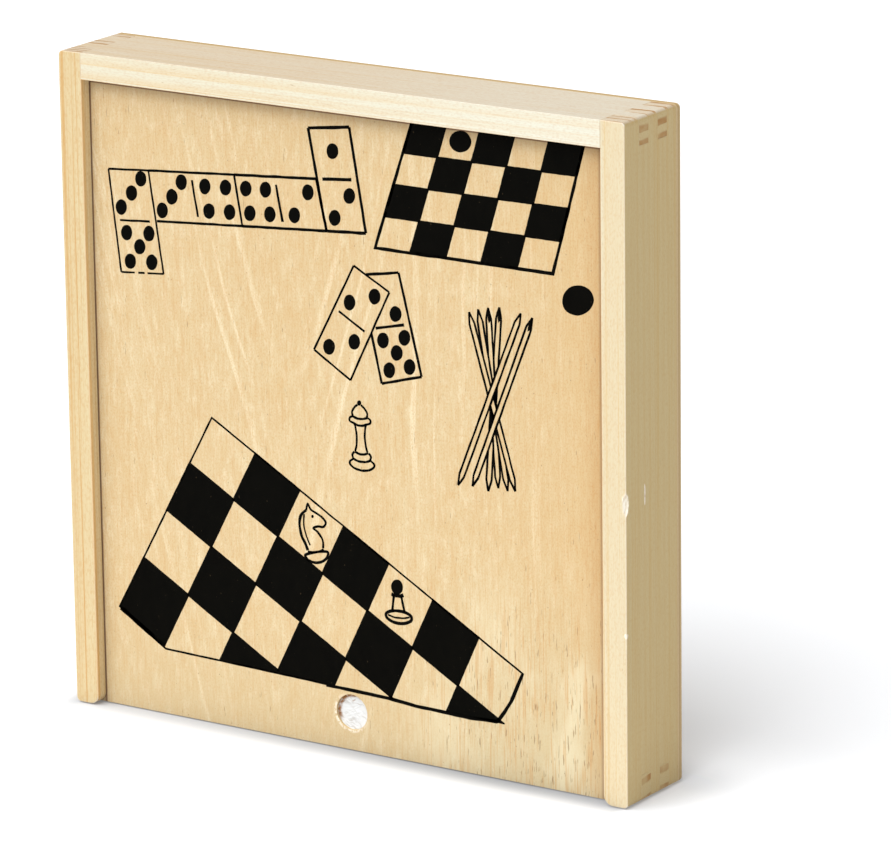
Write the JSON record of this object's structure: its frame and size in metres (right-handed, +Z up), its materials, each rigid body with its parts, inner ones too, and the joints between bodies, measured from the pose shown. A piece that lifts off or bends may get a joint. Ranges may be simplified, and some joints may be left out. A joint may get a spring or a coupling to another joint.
{
  "type": "games compendium box",
  "caption": "Flat finger-jointed wooden games box with a sliding printed lid, divided bays, dominoes, pick-up sticks, chessmen and draughtsmen.",
  "frame": {"origin": "middle of the base on which the box stands, halfway between front and back", "axes": "+Z up along the box's height, front with the sliding lid towards -Y, +X to the right seen from the front"},
  "size_m": [0.195, 0.03, 0.2],
  "materials": {
    "pine": "sanded",
    "plywood": "sanded",
    "ink": "matte",
    "tile_wood": "satin",
    "light_wood": "satin",
    "dark_wood": "satin",
    "stick_black": "satin",
    "stick_blue": "satin",
    "stick_green": "satin",
    "stick_red": "satin",
    "stick_gold": "satin"
  },
  "bodies": {
    "case": {"top_rail": "pine", "bottom_rail": "pine", "left_rail": "pine", "right_rail": "pine", "back_panel": "plywood", "left_divider": "plywood", "right_divider": "plywood", "shelf_1": "plywood", "shelf_2": "plywood", "shelf_3": "plywood", "shelf_4": "plywood", "sticks_black": "stick_black", "sticks_blue": "stick_blue", "sticks_green": "stick_green", "sticks_red": "stick_red", "sticks_gold": "stick_gold", "domino_0_0": "tile_wood", "domino_0_1": "tile_wood", "domino_0_2": "tile_wood", "domino_0_3": "tile_wood", "domino_0_4": "tile_wood", "domino_0_5": "tile_wood", "domino_0_6": "tile_wood", "domino_1_1": "tile_wood", "domino_1_2": "tile_wood", "domino_1_3": "tile_wood", "domino_1_4": "tile_wood", "domino_1_5": "tile_wood", "domino_1_6": "tile_wood", "domino_2_2": "tile_wood", "domino_2_3": "tile_wood", "domino_2_4": "tile_wood", "domino_2_5": "tile_wood", "domino_2_6": "tile_wood", "domino_3_3": "tile_wood", "domino_3_4": "tile_wood", "domino_3_5": "tile_wood", "domino_3_6": "tile_wood", "domino_4_4": "tile_wood", "domino_4_5": "tile_wood", "domino_4_6": "tile_wood", "domino_5_5": "tile_wood", "domino_5_6": "tile_wood", "domino_6_6": "tile_wood", "light_king": "light_wood", "light_queen": "light_wood", "light_bishops": "light_wood", "light_knights": "light_wood", "light_rooks": "light_wood", "light_pawns": "light_wood", "dark_king": "dark_wood", "dark_queen": "dark_wood", "dark_bishops": "dark_wood", "dark_knights": "dark_wood", "dark_rooks": "dark_wood", "dark_pawns": "dark_wood", "light_discs": "light_wood", "dark_discs": "dark_wood"},
    "lid": {"lid": "plywood"}
  },
  "joints": [
    {"name": "lid_slide", "type": "slide", "parent": "case", "child": "lid", "axis": [0, 0, -1], "range_m": [0, 0.19]}
  ]
}
